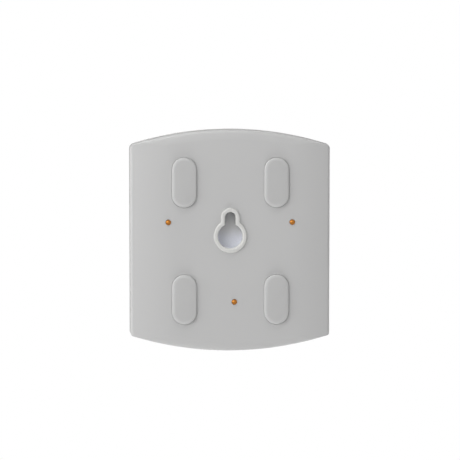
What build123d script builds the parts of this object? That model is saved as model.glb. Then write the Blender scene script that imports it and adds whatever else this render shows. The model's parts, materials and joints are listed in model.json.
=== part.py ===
from build123d import *
import math
import os

# Water leak sensor. Sizes are in millimetres. It stands on its feet at z = 0, with its front cover up.
# Upper is +Y. Left and right are as seen from behind, so left is +X.

# Case outline: straight sides, bowed ends
CASE_WIDTH = 70.8
CASE_LENGTH = 78.2
END_BOW = 5.5
CORNER_RADIUS = 1.8
INNER_CORNER_RADIUS = 0.8

# Both big faces are flat in the middle. They curve gently away to the sides and roll off to the bowed ends.
FLAT_WIDTH = 40.0
SIDE_CURVE_RADIUS = 80.0
END_ROLL_WIDTH = 4.0
END_ROLL_RADIUS = 11.0

# Rear cover
WALL = 2.0
REAR_EDGE_RADIUS = 1.2
REAR_INSET = 0.4
RIB_THICKNESS = 1.0
RIB_HEIGHT = 1.5

# Joint between the covers
SPLIT_BELOW_BOARD = 1.2
TONGUE_THICKNESS = 0.8
TONGUE_HEIGHT = 2.2
GASKET_SETBACK = 0.3
GASKET_THICKNESS = 0.8
COVER_FIT = 0.1

# Front cover
FRONT_WALL = 2.2
FRONT_SIDE_WALL = 1.8
FRONT_EDGE_RADIUS = 1.5
FRONT_RIB_HEIGHT = 0.7
HEADROOM = 1.2

# Feet, one in each quarter of the back
FOOT_LENGTH = 17.6
FOOT_WIDTH = 8.8
FOOT_PROUD = 1.0
FOOT_RECESS = 0.8
FOOT_EDGE = 0.4
FOOT_FROM_END = 18.6
FOOT_FIT = 0.05

# Cover screws, one behind each foot and beside the coin cell
SCREW_FROM_CELL = 3.9
SCREW_SHANK_RADIUS = 1.3
SCREW_HEAD_RADIUS = 2.4
SCREW_HEAD_HEIGHT = 1.6
SCREW_HEAD_RECESS = 0.2
SCREW_BITE = 4.4
SCREW_CLEARANCE = 0.2
THREAD_CLEARANCE = 0.03
PILOT_EXTRA = 0.6
PILLAR_WALL = 1.2
BOSS_WALL = 1.0

# Keyhole hanger
ENTRY_RADIUS = 4.35
ENTRY_Y = 1.7
SLOT_RADIUS = 1.88
SLOT_RISE = 6.6
RIM_WALL = 1.45
RIM_PROUD = 0.6
NECK_RADIUS = 1.0
CUP_FIT = 0.05
CUP_FLANGE_THICKNESS = 1.0
SCREW_POCKET_HEIGHT = 2.6
SCREW_POCKET_RELIEF = 0.3
CUP_ROOF = 1.0
CUP_SEAL_THICKNESS = 0.6
CUP_SEAL_WIDTH = 1.2
STAKE_RADIUS = 0.7
STAKE_HEAD_RADIUS = 1.1
STAKE_HEAD_HEIGHT = 0.5
STAKE_FIT = 0.1
STAKE_MARGIN = 0.2

# Probe pins
PROBE_RADIUS = 0.95
PROBE_PROUD = 0.5
PROBE_DOME = 0.35
PROBE_STUB_RADIUS = 0.8
PROBE_FLANGE_RADIUS = 1.9
PROBE_FLANGE_THICKNESS = 0.8
PROBE_SEAL_RADIUS = 2.0
PROBE_SEAL_THICKNESS = 1.0
PROBE_FIT = 0.05
PROBE_BOSS_WALL = 1.0
PROBE_BOSS_HEIGHT = 2.8
SIDE_PROBE_FROM_SIDE = 13.7
SIDE_PROBE_Y = 6.6
LOW_PROBE_X = -1.4
LOW_PROBE_FROM_END = 17.7

# Spring contact from each probe pin to the circuit board
LEAF_THICKNESS = 0.3
LEAF_WIDTH = 2.2
LEAF_TIP = 1.8
LEAF_RISE = 2.0
LEAF_REACH = 2.2
LEAF_FOOT = 2.0

# Circuit board
BOARD_THICKNESS = 1.6
BOARD_EDGE_GAP = 0.8
BOARD_OVER_CUP = 0.4

# Coin cell, its holder and its contacts
CELL_RADIUS = 12.25
CELL_HEIGHT = 5.0
CELL_CAP_RADIUS = 10.8
CELL_CAP_HEIGHT = 0.4
CELL_EDGE = 0.4
HOLDER_BASE = 0.8
HOLDER_WALL = 0.7
HOLDER_WALL_HEIGHT = 3.4
HOLDER_FIT = 0.15
HOLDER_EDGE_GAP = 1.0
HOLDER_WINDOW_LENGTH = 14.0
HOLDER_WINDOW_WIDTH = 5.0
FINGER_GAP_WIDTH = 10.0
FINGER_GAP_ANGLE = 225.0
CONTACT_THICKNESS = 0.25
CONTACT_WIDTH = 4.0
CONTACT_GAP = 0.3
CONTACT_OVERLAP = 2.0
CONTACT_FOOT = 1.8
PLUS_CONTACT_ANGLE = -45.0
HOLD_DOWN_LENGTH = 8.0
HOLD_DOWN_GAP = 0.1

# Test button, the push switch under it and the light ring round it
BUTTON_RADIUS = 5.0
BUTTON_GAP = 0.3
BUTTON_PROUD = 0.4
BUTTON_DISH = 0.3
BUTTON_EDGE = 0.4
BUTTON_WALL = 0.9
BUTTON_ROOF = 1.2
BUTTON_TRAVEL = 0.4
BUTTON_LIP_WIDTH = 0.6
BUTTON_LIP_THICKNESS = 0.8
BUTTON_STOP_GAP = 0.2
BUTTON_STEM_RADIUS = 1.5
RING_WIDTH = 1.5
RING_FIT = 0.05
RING_FLANGE_WIDTH = 1.1
RING_FLANGE_THICKNESS = 0.8
SWITCH_SIZE = 6.0
SWITCH_HEIGHT = 3.4
SWITCH_CORNER = 0.5
PLUNGER_RADIUS = 1.7
PLUNGER_PROUD = 0.9
PLUNGER_LENGTH = 2.0
PLUNGER_FIT = 0.1
LAMP_LENGTH = 1.6
LAMP_WIDTH = 0.8
LAMP_HEIGHT = 0.6

# Sounder, its gasket and membrane, and the sound slots over it
SOUNDER_RADIUS = 9.0
SOUNDER_HEIGHT = 4.4
SOUNDER_WALL = 0.8
SOUNDER_PORT_RADIUS = 1.6
SOUNDER_LEDGE = 1.0
SOUNDER_EDGE_GAP = 4.0
PIEZO_THICKNESS = 0.3
PIEZO_FIT = 0.1
PIEZO_DEPTH = 2.4
FOAM_RADIUS = 8.2
FOAM_WIDTH = 1.6
MEMBRANE_RADIUS = 6.2
MEMBRANE_THICKNESS = 0.2
SOUND_SLOTS = 5
SOUND_SLOT_WIDTH = 0.9
SOUND_SLOT_PITCH = 2.0
SOUND_CIRCLE_RADIUS = 5.4

# Radio module
RADIO_WIDTH = 12.0
RADIO_LENGTH = 18.0
RADIO_THICKNESS = 0.8
RADIO_EDGE_GAP = 2.0
SHIELD_LENGTH = 11.0
SHIELD_HEIGHT = 2.0
SHIELD_SHEET = 0.25
SHIELD_MARGIN = 1.0
AERIAL_STRIP = 0.5
AERIAL_THICKNESS = 0.2
AERIAL_PITCH = 1.1
AERIAL_DEPTH = 3.4
AERIAL_LEGS = 8

# Other parts on the board
CHIP_SIZE = 7.0
CHIP_HEIGHT = 0.9
CHIP_EDGE_GAP = 6.1
CHIP_Y = 4.0
CAPACITOR_LENGTH = 1.6
CAPACITOR_WIDTH = 0.8
CAPACITOR_PITCH = 2.4
CAPACITOR_ROWS = 2
CAPACITORS_IN_ROW = 3
COIL_RADIUS = 3.2
COIL_WAIST = 2.2
COIL_HEIGHT = 4.0
COIL_CHEEK = 0.8
COIL_CHIP_GAP = 5.8
RESERVOIR_RADIUS = 2.5
RESERVOIR_HEIGHT = 5.2
RESERVOIR_BASE = 0.8
RESERVOIR_COIL_GAP = 1.3

# How far a cutting shape runs past the face that it cuts
OVERCUT = 1.0

# Heights, from the feet up
BACK_Z = FOOT_PROUD
RECESS_Z = BACK_Z + FOOT_RECESS
FLOOR_Z = BACK_Z + WALL
RIM_Z = BACK_Z - RIM_PROUD
HEAD_SEAT_Z = RECESS_Z + SCREW_HEAD_RECESS + SCREW_HEAD_HEIGHT
CUP_FLANGE_Z = FLOOR_Z + CUP_SEAL_THICKNESS
SCREW_POCKET_Z = CUP_FLANGE_Z + CUP_FLANGE_THICKNESS
CUP_ROOF_Z = SCREW_POCKET_Z + SCREW_POCKET_HEIGHT
BOARD_Z = CUP_ROOF_Z + CUP_ROOF + BOARD_OVER_CUP
BOARD_TOP_Z = BOARD_Z + BOARD_THICKNESS
PROBE_TOP_Z = BOARD_Z - LEAF_RISE
SPLIT_Z = BOARD_TOP_Z - SPLIT_BELOW_BOARD
TONGUE_TOP_Z = SPLIT_Z + TONGUE_HEIGHT
FRONT_BOTTOM_Z = SPLIT_Z + GASKET_THICKNESS
CELL_Z = BOARD_TOP_Z + HOLDER_BASE
CELL_TOP_Z = CELL_Z + CELL_HEIGHT
CEILING_Z = CELL_TOP_Z + HEADROOM
FRONT_Z = CEILING_Z + FRONT_WALL
SCREW_END_Z = BOARD_TOP_Z + SCREW_BITE

# Outlines and places that follow from the sizes above
END_RADIUS = ((CASE_WIDTH / 2) ** 2 + END_BOW**2) / (2 * END_BOW)
END_SWEEP = 2 * math.degrees(math.asin((CASE_WIDTH / 2 + OVERCUT) / (END_RADIUS - END_ROLL_WIDTH)))
CAVITY_INSET = REAR_INSET + WALL
TONGUE_INSET = CAVITY_INSET - TONGUE_THICKNESS
BOARD_INSET = CAVITY_INSET + BOARD_EDGE_GAP
BOARD_CROWN = CASE_LENGTH / 2 - BOARD_INSET
BOARD_SIDE = CASE_WIDTH / 2 - BOARD_INSET
FOOT_X = CELL_RADIUS + SCREW_FROM_CELL
FOOT_Y = CASE_LENGTH / 2 - FOOT_FROM_END
SIDE_PROBE_X = CASE_WIDTH / 2 - SIDE_PROBE_FROM_SIDE
LOW_PROBE_Y = LOW_PROBE_FROM_END - CASE_LENGTH / 2
SCREW_HOLE_RADIUS = SCREW_SHANK_RADIUS + SCREW_CLEARANCE
HEAD_POCKET_RADIUS = SCREW_HEAD_RADIUS + SCREW_CLEARANCE
PILLAR_RADIUS = HEAD_POCKET_RADIUS + PILLAR_WALL
PILOT_RADIUS = SCREW_SHANK_RADIUS + THREAD_CLEARANCE
BOSS_RADIUS = PILOT_RADIUS + BOSS_WALL
CUP_RADIUS = ENTRY_RADIUS + RIM_WALL
SCREW_POCKET_RADIUS = ENTRY_RADIUS + SCREW_POCKET_RELIEF
CUP_SEAL_RADIUS = CUP_RADIUS + CUP_SEAL_WIDTH
STAKE_OFFSET = CUP_SEAL_RADIUS + STAKE_MARGIN + STAKE_RADIUS
CUP_FLANGE_RADIUS = STAKE_OFFSET + STAKE_HEAD_RADIUS + STAKE_MARGIN
CUP_Y = ENTRY_Y + SLOT_RISE / 2
PROBE_WELL_RADIUS = PROBE_SEAL_RADIUS + PROBE_FIT
HOLDER_RADIUS = CELL_RADIUS + HOLDER_FIT + HOLDER_WALL
CELL_Y = BOARD_CROWN - HOLDER_EDGE_GAP - HOLDER_RADIUS
SOUNDER_Y = SOUNDER_EDGE_GAP + SOUNDER_RADIUS - BOARD_CROWN
RING_INNER_RADIUS = BUTTON_RADIUS + BUTTON_GAP
RING_OUTER_RADIUS = RING_INNER_RADIUS + RING_WIDTH
RING_FLANGE_RADIUS = RING_OUTER_RADIUS + RING_FLANGE_WIDTH
RING_FLANGE_Z = CEILING_Z - RING_FLANGE_THICKNESS
LIP_TOP_Z = RING_FLANGE_Z - BUTTON_STOP_GAP
LIP_Z = LIP_TOP_Z - BUTTON_LIP_THICKNESS
BUTTON_TOP_Z = FRONT_Z + BUTTON_PROUD
STEM_Z = BOARD_TOP_Z + SWITCH_HEIGHT + PLUNGER_PROUD
PLUNGER_Z = STEM_Z - PLUNGER_LENGTH
RADIO_X = RADIO_EDGE_GAP + RADIO_WIDTH / 2 - BOARD_SIDE
RADIO_TOP_Z = BOARD_TOP_Z + RADIO_THICKNESS
CHIP_X = BOARD_SIDE - CHIP_EDGE_GAP - CHIP_SIZE / 2
COIL_Y = CHIP_Y - CHIP_SIZE / 2 - COIL_CHIP_GAP - COIL_RADIUS
RESERVOIR_X = CHIP_X - COIL_RADIUS - RESERVOIR_COIL_GAP - RESERVOIR_RADIUS

FOOT_SITES = {
    "upper_left": (FOOT_X, FOOT_Y),
    "upper_right": (-FOOT_X, FOOT_Y),
    "lower_left": (FOOT_X, -FOOT_Y),
    "lower_right": (-FOOT_X, -FOOT_Y),
}
PROBE_SITES = {
    "left": (SIDE_PROBE_X, SIDE_PROBE_Y),
    "right": (-SIDE_PROBE_X, SIDE_PROBE_Y),
    "lower": (LOW_PROBE_X, LOW_PROBE_Y),
}
STAKE_SITES = [(STAKE_OFFSET, CUP_Y), (-STAKE_OFFSET, CUP_Y)]


# Basic forms

def prism(face, low_z, high_z):
    """A flat face carried straight up between two heights."""
    return extrude(Pos(0, 0, low_z) * face, amount=high_z - low_z, dir=(0, 0, 1))


def disc(radius, low_z, high_z):
    """A round bar about Z between two heights."""
    return prism(Circle(radius), low_z, high_z)


def block(x_size, y_size, low_z, high_z):
    """A rectangular block about Z between two heights."""
    return prism(Rectangle(x_size, y_size), low_z, high_z)


def turned(*corners):
    """A solid of revolution about Z. Each corner of its half section is a radius and a height."""
    return revolve(Plane.XZ * make_face(Polyline(*corners, close=True)), Axis.Z)


def strip(width, *path):
    """A bent sheet-metal strip of the given width. Each point of its path is an x and a height."""
    section = Plane.XZ * trace(Polyline(*path), line_width=LEAF_THICKNESS)
    return extrude(section, amount=width / 2, both=True)


def at_sites(sites, piece):
    """Copies of one piece at each place in a list."""
    return Part() + [Pos(x, y) * piece for x, y in sites]


# Outlines that several pieces share

def case_outline(inset):
    """The case seen from above, drawn in by inset: straight sides, bowed ends and rounded corners."""
    side_x = CASE_WIDTH / 2 - inset
    crown_y = CASE_LENGTH / 2 - inset
    bow_radius = END_RADIUS - inset
    corner_y = crown_y - bow_radius + math.sqrt(bow_radius**2 - side_x**2)
    face = make_face([
        Line((side_x, -corner_y), (side_x, corner_y)),
        ThreePointArc((side_x, corner_y), (0, crown_y), (-side_x, corner_y)),
        Line((-side_x, corner_y), (-side_x, -corner_y)),
        ThreePointArc((-side_x, -corner_y), (0, -crown_y), (side_x, -corner_y)),
    ])
    return fillet(face.vertices(), max(CORNER_RADIUS - inset, INNER_CORNER_RADIUS))


def case_ring(outer_inset, inner_inset, low_z, high_z):
    """A band that follows the case outline."""
    return prism(case_outline(outer_inset) - case_outline(inner_inset), low_z, high_z)


def edge_trim(flat, reach, curve_radius, edge_radius, base_z):
    """Section of what is trimmed off below a face that curves up to a wall and ends in a round."""
    middle_z = base_z + curve_radius
    round_x = reach - edge_radius
    round_z = middle_z - math.sqrt((curve_radius - edge_radius) ** 2 - (round_x - flat) ** 2)
    share = curve_radius / (curve_radius - edge_radius)
    meet = (flat + (round_x - flat) * share, middle_z + (round_z - middle_z) * share)
    curve = TangentArc((flat, base_z), meet, tangent=(1, 0))
    corner = TangentArc(meet, (reach, round_z), tangent=curve % 1)
    outside = Polyline(
        (reach, round_z),
        (reach + OVERCUT, round_z),
        (reach + OVERCUT, base_z - OVERCUT),
        (flat, base_z - OVERCUT),
        (flat, base_z),
    )
    return Plane.XZ * make_face([curve, corner, outside])


def tray_form(inset, edge_radius, base_z, top_z):
    """The case outline filled above a face that curves up to its sides and rolls up to its bowed ends."""
    form = prism(case_outline(inset), base_z, top_z)
    side_x = CASE_WIDTH / 2 - inset
    side = edge_trim(FLAT_WIDTH / 2, side_x, SIDE_CURVE_RADIUS, edge_radius, base_z)
    side_trim = extrude(side, amount=CASE_LENGTH, both=True)
    end_radius = END_RADIUS - inset
    end = edge_trim(end_radius - END_ROLL_WIDTH, end_radius, END_ROLL_RADIUS, edge_radius, base_z)
    end_trim = Rot(0, 0, (180 - END_SWEEP) / 2) * revolve(end, Axis.Z, revolution_arc=END_SWEEP)
    for turn in (0, 180):
        form -= Rot(0, 0, turn) * side_trim
        form -= Rot(0, 0, turn) * Pos(0, CASE_LENGTH / 2 - END_RADIUS) * end_trim
    return form


def keyhole(grow):
    """The hanger's keyhole, round entry below and slot above, with every edge moved out by grow."""
    slot = Pos(0, CUP_Y) * SlotCenterToCenter(SLOT_RISE, 2 * (SLOT_RADIUS + grow), rotation=90)
    return Pos(0, ENTRY_Y) * Circle(ENTRY_RADIUS + grow) + slot


def rim_outline(gap):
    """The outside of the keyhole's rim, moved out by gap, with the corners of its neck rounded."""
    outline = keyhole(RIM_WALL + gap)
    neck_y = ENTRY_Y + math.sqrt((CUP_RADIUS + gap) ** 2 - (SLOT_RADIUS + RIM_WALL + gap) ** 2)
    neck = outline.vertices().filter_by(lambda corner: abs(corner.Y - neck_y) < COVER_FIT)
    return fillet(neck, NECK_RADIUS - gap)


def hanger_oval(radius):
    """The oval that a screw head sweeps as it slides from the keyhole's entry to the end of its slot."""
    return Pos(0, CUP_Y) * SlotCenterToCenter(SLOT_RISE, 2 * radius, rotation=90)


def foot_form(grow, low_z, high_z):
    """The long rounded shape of a foot, with every side moved out by grow."""
    face = SlotOverall(FOOT_LENGTH + 2 * grow, FOOT_WIDTH + 2 * grow, rotation=90)
    return prism(face, low_z, high_z)


# Covers and what seals and fastens them

def rear_cover():
    """Tray with screw pillars, probe wells, stakes for the hanger cup, ribs, foot recesses and a tongue."""
    cover = tray_form(REAR_INSET, REAR_EDGE_RADIUS, BACK_Z, SPLIT_Z)
    cover -= prism(case_outline(CAVITY_INSET), FLOOR_Z, SPLIT_Z + OVERCUT)
    cover += case_ring(TONGUE_INSET, CAVITY_INSET, SPLIT_Z, TONGUE_TOP_Z)

    feet = FOOT_SITES.values()
    probes = PROBE_SITES.values()
    rib_length = CASE_WIDTH / 2 - FOOT_X - REAR_INSET - WALL / 2
    root_z = FLOOR_Z - WALL / 2
    for side in (1, -1):
        long_rib = block(RIB_THICKNESS, 2 * FOOT_Y, FLOOR_Z, FLOOR_Z + RIB_HEIGHT)
        cover += Pos(side * FOOT_X, 0) * long_rib
    for x, y in feet:
        side_rib = block(rib_length, RIB_THICKNESS, FLOOR_Z, FLOOR_Z + RIB_HEIGHT)
        cover += Pos(x + math.copysign(rib_length / 2, x), y) * side_rib
    cover += at_sites(feet, disc(PILLAR_RADIUS, RECESS_Z, BOARD_Z))
    cover += at_sites(probes, disc(PROBE_WELL_RADIUS + PROBE_BOSS_WALL, root_z, FLOOR_Z + PROBE_BOSS_HEIGHT))
    cover += at_sites(STAKE_SITES, disc(STAKE_RADIUS, root_z, SCREW_POCKET_Z))
    stake_head = disc(STAKE_HEAD_RADIUS, SCREW_POCKET_Z, SCREW_POCKET_Z + STAKE_HEAD_HEIGHT)
    cover += at_sites(STAKE_SITES, stake_head)

    low_z = BACK_Z - OVERCUT
    cover -= at_sites(feet, foot_form(FOOT_FIT, low_z, RECESS_Z))
    cover -= at_sites(feet, disc(HEAD_POCKET_RADIUS, low_z, HEAD_SEAT_Z))
    cover -= at_sites(feet, disc(SCREW_HOLE_RADIUS, low_z, BOARD_Z + OVERCUT))
    cover -= at_sites(probes, disc(PROBE_RADIUS + PROBE_FIT, low_z, FLOOR_Z + OVERCUT))
    cover -= at_sites(probes, disc(PROBE_WELL_RADIUS, FLOOR_Z, FLOOR_Z + PROBE_BOSS_HEIGHT + OVERCUT))
    cover -= prism(rim_outline(CUP_FIT), low_z, FLOOR_Z + OVERCUT)
    return cover


def sound_slots():
    """Parallel slots over the sounder, shorter above and below, so that together they fill a circle."""
    slots = Part()
    for number in range(SOUND_SLOTS):
        rise = (number - (SOUND_SLOTS - 1) / 2) * SOUND_SLOT_PITCH
        length = 2 * math.sqrt(SOUND_CIRCLE_RADIUS**2 - rise**2)
        slot = Pos(0, SOUNDER_Y + rise) * SlotOverall(length, SOUND_SLOT_WIDTH)
        slots += prism(slot, CEILING_Z - OVERCUT, FRONT_Z + OVERCUT)
    return slots


def front_cover():
    """Cover with the back's curve turned over, a skirt round the tongue, screw bosses and sound slots."""
    upside_down = tray_form(0, FRONT_EDGE_RADIUS, -FRONT_Z, -FRONT_BOTTOM_Z)
    cover = mirror(upside_down, about=Plane.XY)
    cover -= prism(case_outline(FRONT_SIDE_WALL), FRONT_BOTTOM_Z - OVERCUT, CEILING_Z)
    skirt_top_z = TONGUE_TOP_Z + COVER_FIT
    cover -= prism(case_outline(TONGUE_INSET - COVER_FIT), FRONT_BOTTOM_Z - OVERCUT, skirt_top_z)

    feet = FOOT_SITES.values()
    inside_z = CEILING_Z + FRONT_WALL / 2
    for side in (1, -1):
        rib = block(RIB_THICKNESS, 2 * FOOT_Y, CEILING_Z - FRONT_RIB_HEIGHT, inside_z)
        cover += Pos(side * FOOT_X, 0) * rib
    cover += at_sites(feet, disc(BOSS_RADIUS, BOARD_TOP_Z, inside_z))
    hold_down = block(HOLD_DOWN_LENGTH, RIB_THICKNESS, CELL_TOP_Z + HOLD_DOWN_GAP, inside_z)
    cover += Pos(0, CELL_Y) * hold_down

    cover -= at_sites(feet, disc(PILOT_RADIUS, BOARD_TOP_Z - OVERCUT, SCREW_END_Z + PILOT_EXTRA))
    cover -= disc(RING_OUTER_RADIUS + RING_FIT, CEILING_Z - OVERCUT, FRONT_Z + OVERCUT)
    return cover - sound_slots()


def cover_gasket():
    """Flat gasket that lies outside the tongue, between the two covers."""
    outer_inset = REAR_INSET + GASKET_SETBACK
    return case_ring(outer_inset, TONGUE_INSET - COVER_FIT, SPLIT_Z, FRONT_BOTTOM_Z)


def foot():
    """Long soft foot, set in its recess over the head of a cover screw."""
    pad = foot_form(0, 0, RECESS_Z)
    lower_edges = pad.edges().filter_by(lambda edge: edge.bounding_box().max.Z < FOOT_PROUD / 2)
    return chamfer(lower_edges, min(FOOT_EDGE, FOOT_PROUD / 2))


def cover_screws():
    """Four pan-head screws, through the rear cover and the circuit board into the front cover's bosses."""
    head_z = HEAD_SEAT_Z - SCREW_HEAD_HEIGHT
    screw = turned(
        (0, head_z),
        (SCREW_HEAD_RADIUS, head_z),
        (SCREW_HEAD_RADIUS, HEAD_SEAT_Z),
        (SCREW_SHANK_RADIUS, HEAD_SEAT_Z),
        (SCREW_SHANK_RADIUS, SCREW_END_Z),
        (0, SCREW_END_Z),
    )
    return at_sites(FOOT_SITES.values(), screw)


# Keyhole hanger

def hanger_cup():
    """Keyhole rim, staked flange and the closed pocket behind it where a wall screw's head slides up."""
    cup = prism(rim_outline(0), RIM_Z, SCREW_POCKET_Z)
    cup += prism(hanger_oval(CUP_FLANGE_RADIUS), CUP_FLANGE_Z, SCREW_POCKET_Z)
    cup += prism(hanger_oval(CUP_RADIUS), CUP_FLANGE_Z, CUP_ROOF_Z + CUP_ROOF)
    cup -= prism(keyhole(0), RIM_Z - OVERCUT, SCREW_POCKET_Z)
    cup -= prism(hanger_oval(SCREW_POCKET_RADIUS), SCREW_POCKET_Z, CUP_ROOF_Z)
    hole = disc(STAKE_RADIUS + STAKE_FIT, CUP_FLANGE_Z - OVERCUT, SCREW_POCKET_Z + OVERCUT)
    return cup - at_sites(STAKE_SITES, hole)


def hanger_seal():
    """Flat seal between the cup's flange and the rear cover."""
    return prism(hanger_oval(CUP_SEAL_RADIUS) - rim_outline(CUP_FIT), FLOOR_Z, CUP_FLANGE_Z)


# Probe pins

def probe_pin():
    """Turned pin: domed tip below the back, flange over the seal, and a stub up to the spring contact."""
    tip_z = BACK_Z - PROBE_PROUD
    shoulder_z = tip_z + PROBE_DOME
    flange_z = FLOOR_Z + PROBE_SEAL_THICKNESS
    flange_top_z = flange_z + PROBE_FLANGE_THICKNESS
    dome_radius = (PROBE_RADIUS**2 + PROBE_DOME**2) / (2 * PROBE_DOME)
    section = make_face([
        RadiusArc((0, tip_z), (PROBE_RADIUS, shoulder_z), -dome_radius),
        Polyline(
            (PROBE_RADIUS, shoulder_z),
            (PROBE_RADIUS, flange_z),
            (PROBE_FLANGE_RADIUS, flange_z),
            (PROBE_FLANGE_RADIUS, flange_top_z),
            (PROBE_STUB_RADIUS, flange_top_z),
            (PROBE_STUB_RADIUS, PROBE_TOP_Z),
            (0, PROBE_TOP_Z),
            (0, tip_z),
        ),
    ])
    return revolve(Plane.XZ * section, Axis.Z)


def probe_seal():
    """Silicone ring squeezed between a pin's flange and the back."""
    face = Circle(PROBE_SEAL_RADIUS) - Circle(PROBE_RADIUS + PROBE_FIT)
    return prism(face, FLOOR_Z, FLOOR_Z + PROBE_SEAL_THICKNESS)


def probe_contact():
    """Bent leaf that presses on a pin's end and is soldered under the circuit board."""
    tip_z = PROBE_TOP_Z + LEAF_THICKNESS / 2
    foot_z = BOARD_Z - LEAF_THICKNESS / 2
    bend_x = LEAF_TIP / 2 + LEAF_REACH
    return strip(
        LEAF_WIDTH,
        (-LEAF_TIP / 2, tip_z),
        (LEAF_TIP / 2, tip_z),
        (bend_x, foot_z),
        (bend_x + LEAF_FOOT, foot_z),
    )


# Circuit board and the cell on it

def circuit_board():
    """Board that follows the case outline, clamped between the pillars and the bosses."""
    board = prism(case_outline(BOARD_INSET), BOARD_Z, BOARD_TOP_Z)
    hole = disc(SCREW_HOLE_RADIUS, BOARD_Z - OVERCUT, BOARD_TOP_Z + OVERCUT)
    return board - at_sites(FOOT_SITES.values(), hole)


def coin_cell():
    """Coin cell with its narrow minus cap down."""
    shoulder_z = CELL_Z + CELL_CAP_HEIGHT
    cell = turned(
        (0, CELL_Z),
        (CELL_CAP_RADIUS, CELL_Z),
        (CELL_CAP_RADIUS, shoulder_z),
        (CELL_RADIUS - CELL_EDGE, shoulder_z),
        (CELL_RADIUS, shoulder_z + CELL_EDGE),
        (CELL_RADIUS, CELL_TOP_Z - CELL_EDGE),
        (CELL_RADIUS - CELL_EDGE, CELL_TOP_Z),
        (0, CELL_TOP_Z),
    )
    return Pos(0, CELL_Y) * cell


def cell_holder():
    """Cup for the coin cell, with a window, a gap for a fingertip and one for the plus contact."""
    top_z = CELL_Z + HOLDER_WALL_HEIGHT
    holder = disc(HOLDER_RADIUS, BOARD_TOP_Z, top_z)
    holder -= disc(CELL_RADIUS + HOLDER_FIT, CELL_Z, top_z + OVERCUT)
    holder -= block(HOLDER_WINDOW_LENGTH, HOLDER_WINDOW_WIDTH, BOARD_TOP_Z - OVERCUT, CELL_Z + OVERCUT)
    gaps = ((FINGER_GAP_ANGLE, FINGER_GAP_WIDTH), (PLUS_CONTACT_ANGLE, CONTACT_WIDTH + 2 * CONTACT_GAP))
    for angle, width in gaps:
        gap = Pos(HOLDER_RADIUS, 0) * block(HOLDER_RADIUS, width, CELL_Z, top_z + OVERCUT)
        holder -= Rot(0, 0, angle) * gap
    holder = Pos(0, CELL_Y) * holder
    clear = disc(BOSS_RADIUS + COVER_FIT, BOARD_TOP_Z - OVERCUT, top_z + OVERCUT)
    return holder - at_sites(FOOT_SITES.values(), clear)


def cell_contact_minus():
    """Arched strip in the holder's window, between the board and the cell's cap."""
    half_length = HOLDER_WINDOW_LENGTH / 2 - CONTACT_GAP
    low_z = BOARD_TOP_Z + CONTACT_THICKNESS / 2
    arch = ThreePointArc(
        (-half_length, low_z), (0, CELL_Z - CONTACT_THICKNESS / 2), (half_length, low_z)
    )
    section = Plane.XZ * trace(arch, line_width=CONTACT_THICKNESS)
    return Pos(0, CELL_Y) * extrude(section, amount=CONTACT_WIDTH / 2, both=True)


def cell_contact_plus():
    """Clip that stands on the board beside the cell and reaches over its edge."""
    post_x = HOLDER_RADIUS + CONTACT_GAP
    low_z = BOARD_TOP_Z + CONTACT_THICKNESS / 2
    high_z = CELL_TOP_Z + CONTACT_THICKNESS / 2
    path = Polyline(
        (post_x + CONTACT_FOOT, low_z),
        (post_x, low_z),
        (post_x, high_z),
        (CELL_RADIUS - CONTACT_OVERLAP, high_z),
    )
    section = Plane.XZ * trace(path, line_width=CONTACT_THICKNESS)
    clip = extrude(section, amount=CONTACT_WIDTH / 2, both=True)
    return Pos(0, CELL_Y) * Rot(0, 0, PLUS_CONTACT_ANGLE) * clip


# Test button and light ring

def light_ring():
    """Clear ring round the button, held behind the front cover by its flange."""
    return turned(
        (RING_INNER_RADIUS, RING_FLANGE_Z),
        (RING_FLANGE_RADIUS, RING_FLANGE_Z),
        (RING_FLANGE_RADIUS, CEILING_Z),
        (RING_OUTER_RADIUS, CEILING_Z),
        (RING_OUTER_RADIUS, FRONT_Z),
        (RING_INNER_RADIUS, FRONT_Z),
    )


def test_button():
    """Dished cap with a lip that stops under the light ring and a stem down to the switch."""
    inner_radius = BUTTON_RADIUS - BUTTON_WALL
    lip_radius = RING_INNER_RADIUS + BUTTON_LIP_WIDTH
    roof_z = BUTTON_TOP_Z - BUTTON_ROOF
    rim_radius = BUTTON_RADIUS - BUTTON_EDGE
    dish_radius = (rim_radius**2 + BUTTON_DISH**2) / (2 * BUTTON_DISH)
    section = make_face([
        RadiusArc((0, BUTTON_TOP_Z - BUTTON_DISH), (rim_radius, BUTTON_TOP_Z), -dish_radius),
        Polyline(
            (rim_radius, BUTTON_TOP_Z),
            (BUTTON_RADIUS, BUTTON_TOP_Z - BUTTON_EDGE),
            (BUTTON_RADIUS, LIP_TOP_Z),
            (lip_radius, LIP_TOP_Z),
            (lip_radius, LIP_Z),
            (inner_radius, LIP_Z),
            (inner_radius, roof_z),
            (BUTTON_STEM_RADIUS, roof_z),
            (BUTTON_STEM_RADIUS, STEM_Z),
            (0, STEM_Z),
            (0, BUTTON_TOP_Z - BUTTON_DISH),
        ),
    ])
    return revolve(Plane.XZ * section, Axis.Z)


def switch_body():
    """Square push switch with a round well for its plunger."""
    high_z = BOARD_TOP_Z + SWITCH_HEIGHT
    body = prism(RectangleRounded(SWITCH_SIZE, SWITCH_SIZE, SWITCH_CORNER), BOARD_TOP_Z, high_z)
    well_z = PLUNGER_Z - BUTTON_TRAVEL - PLUNGER_FIT
    return body - disc(PLUNGER_RADIUS + PLUNGER_FIT, well_z, high_z + OVERCUT)


def switch_plunger():
    """The switch's own plunger, under the button's stem."""
    return disc(PLUNGER_RADIUS, PLUNGER_Z, STEM_Z)


def status_lamps():
    """Two indicator lamps on the board, under the light ring."""
    lamp = block(LAMP_WIDTH, LAMP_LENGTH, BOARD_TOP_Z, BOARD_TOP_Z + LAMP_HEIGHT)
    lamp_x = (RING_INNER_RADIUS + RING_OUTER_RADIUS) / 2
    return at_sites([(lamp_x, 0), (-lamp_x, 0)], lamp)


# Sounder

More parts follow.
